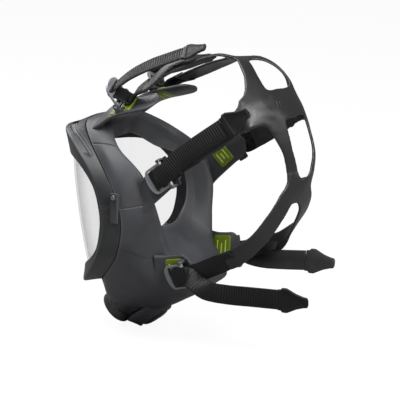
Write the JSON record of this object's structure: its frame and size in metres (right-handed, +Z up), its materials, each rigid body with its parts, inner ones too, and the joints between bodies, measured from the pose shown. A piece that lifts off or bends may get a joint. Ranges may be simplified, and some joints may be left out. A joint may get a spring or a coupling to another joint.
{
  "type": "full face respirator",
  "caption": "Full face breathing mask with curved visor, rubber face seal, chin connector and a ribbed rubber head harness with quick-release buckles",
  "frame": {"origin": "centre of the bottom of the bounding box, on the mask mid-plane", "axes": "+Z up, the visor looks along -Y, +X is the wearer's left"},
  "size_m": [0.1808, 0.284, 0.2994],
  "materials": {
    "lens": "clear polished polycarbonate",
    "frame": "fine satin moulded",
    "rubber": "satin moulded rubber",
    "housing": "glossy black",
    "marker": "green moulded insert",
    "buckle": "satin bead-blasted",
    "steel": "bright",
    "strap": "ribbed matt rubber",
    "valve": "thin silicone"
  },
  "bodies": {
    "root": {"lens": "lens", "lens_frame_upper": "frame", "lens_frame_lower": "frame", "face_blank": "rubber", "frame_clamp_left": "frame", "frame_screw_left": "steel", "frame_clamp_right": "frame", "frame_screw_right": "steel", "connector_housing": "housing", "inlet_ring": "steel", "inlet_gasket": "rubber", "inhale_valve_seat": "frame", "speech_diaphragm": "valve", "diaphragm_ring": "frame", "exhale_valve_seat": "frame", "exhale_spring": "steel", "exhale_cover": "housing", "marker_top_left": "marker", "buckle_base_top_left": "buckle", "buckle_pin_top_left": "steel", "marker_top_right": "marker", "buckle_base_top_right": "buckle", "buckle_pin_top_right": "steel", "marker_temple_left": "marker", "buckle_base_temple_left": "buckle", "buckle_pin_temple_left": "steel", "marker_temple_right": "marker", "buckle_base_temple_right": "buckle", "buckle_pin_temple_right": "steel", "marker_lower_left": "marker", "buckle_base_lower_left": "buckle", "buckle_pin_lower_left": "steel", "marker_lower_right": "marker", "buckle_base_lower_right": "buckle", "buckle_pin_lower_right": "steel", "harness_web": "rubber"},
    "buckle_top_left": {"buckle_top_left": "buckle"},
    "tail_top_left": {"strap_tail_top_left": "strap", "pull_tab_top_left": "strap"},
    "buckle_top_right": {"buckle_top_right": "buckle"},
    "tail_top_right": {"strap_tail_top_right": "strap", "pull_tab_top_right": "strap"},
    "buckle_temple_left": {"buckle_temple_left": "buckle"},
    "tail_temple_left": {"strap_tail_temple_left": "strap", "pull_tab_temple_left": "strap"},
    "buckle_temple_right": {"buckle_temple_right": "buckle"},
    "tail_temple_right": {"strap_tail_temple_right": "strap", "pull_tab_temple_right": "strap"},
    "buckle_lower_left": {"buckle_lower_left": "buckle"},
    "tail_lower_left": {"strap_tail_lower_left": "strap", "pull_tab_lower_left": "strap"},
    "buckle_lower_right": {"buckle_lower_right": "buckle"},
    "tail_lower_right": {"strap_tail_lower_right": "strap", "pull_tab_lower_right": "strap"},
    "inhale_valve": {"inhale_valve_disc": "valve"},
    "exhale_valve": {"exhale_valve_disc": "valve"}
  },
  "joints": [
    {"name": "buckle_top_left_lift", "type": "hinge", "parent": "root", "child": "buckle_top_left", "pos_m": [0.038, -0.07104, 0.23856], "axis": [-0.9245, -0.139, 0.355], "range_deg": [-35, 5]},
    {"name": "tail_top_left_swing", "type": "hinge", "parent": "buckle_top_left", "child": "tail_top_left", "pos_m": [0.04257, -0.07566, 0.24865], "axis": [0.9245, 0.139, -0.355], "range_deg": [-35.5, 5.5]},
    {"name": "buckle_top_right_lift", "type": "hinge", "parent": "root", "child": "buckle_top_right", "pos_m": [-0.038, -0.07104, 0.23856], "axis": [-0.9245, 0.139, -0.355], "range_deg": [-35, 5]},
    {"name": "tail_top_right_swing", "type": "hinge", "parent": "buckle_top_right", "child": "tail_top_right", "pos_m": [-0.04257, -0.07566, 0.24865], "axis": [0.9245, -0.139, 0.355], "range_deg": [-35.5, 5.5]},
    {"name": "buckle_temple_left_lift", "type": "hinge", "parent": "root", "child": "buckle_temple_left", "pos_m": [0.076, -0.00003, 0.17756], "axis": [-0.0772, -0.6013, 0.7953], "range_deg": [0, 40]},
    {"name": "tail_temple_left_swing", "type": "hinge", "parent": "buckle_temple_left", "child": "tail_temple_left", "pos_m": [0.0766, -0.00962, 0.17037], "axis": [0.0772, 0.6013, -0.7953], "range_deg": [-0.5, 40.5]},
    {"name": "buckle_temple_right_lift", "type": "hinge", "parent": "root", "child": "buckle_temple_right", "pos_m": [-0.076, -0.00003, 0.17756], "axis": [-0.0772, 0.6013, -0.7953], "range_deg": [0, 40]},
    {"name": "tail_temple_right_swing", "type": "hinge", "parent": "buckle_temple_right", "child": "tail_temple_right", "pos_m": [-0.0766, -0.00962, 0.17037], "axis": [0.0772, -0.6013, 0.7953], "range_deg": [-0.5, 40.5]},
    {"name": "buckle_lower_left_lift", "type": "hinge", "parent": "root", "child": "buckle_lower_left", "pos_m": [0.056, 0.01097, 0.07156], "axis": [0.2903, -0.2663, 0.9191], "range_deg": [0, 40]},
    {"name": "tail_lower_left_swing", "type": "hinge", "parent": "buckle_lower_left", "child": "tail_lower_left", "pos_m": [0.05503, -0.0006, 0.06852], "axis": [-0.2903, 0.2663, -0.9191], "range_deg": [-0.5, 40.5]},
    {"name": "buckle_lower_right_lift", "type": "hinge", "parent": "root", "child": "buckle_lower_right", "pos_m": [-0.056, 0.01097, 0.07156], "axis": [0.2903, 0.2663, -0.9191], "range_deg": [0, 40]},
    {"name": "tail_lower_right_swing", "type": "hinge", "parent": "buckle_lower_right", "child": "tail_lower_right", "pos_m": [-0.05503, -0.0006, 0.06852], "axis": [-0.2903, -0.2663, 0.9191], "range_deg": [-0.5, 40.5]},
    {"name": "inhale_valve_travel", "type": "slide", "parent": "root", "child": "inhale_valve", "axis": [0, 0.76, 0.65], "range_m": [0, 0.002]},
    {"name": "exhale_valve_travel", "type": "slide", "parent": "root", "child": "exhale_valve", "axis": [0, 0.6, -0.8], "range_m": [0, 0.0025], "stiffness_N_per_m": 40}
  ],
  "couplings": [
    {"joint": "tail_top_left_swing", "follows": "buckle_top_left_lift", "ratio": 1},
    {"joint": "tail_top_right_swing", "follows": "buckle_top_right_lift", "ratio": 1},
    {"joint": "tail_temple_left_swing", "follows": "buckle_temple_left_lift", "ratio": 1},
    {"joint": "tail_temple_right_swing", "follows": "buckle_temple_right_lift", "ratio": 1},
    {"joint": "tail_lower_left_swing", "follows": "buckle_lower_left_lift", "ratio": 1},
    {"joint": "tail_lower_right_swing", "follows": "buckle_lower_right_lift", "ratio": 1}
  ]
}
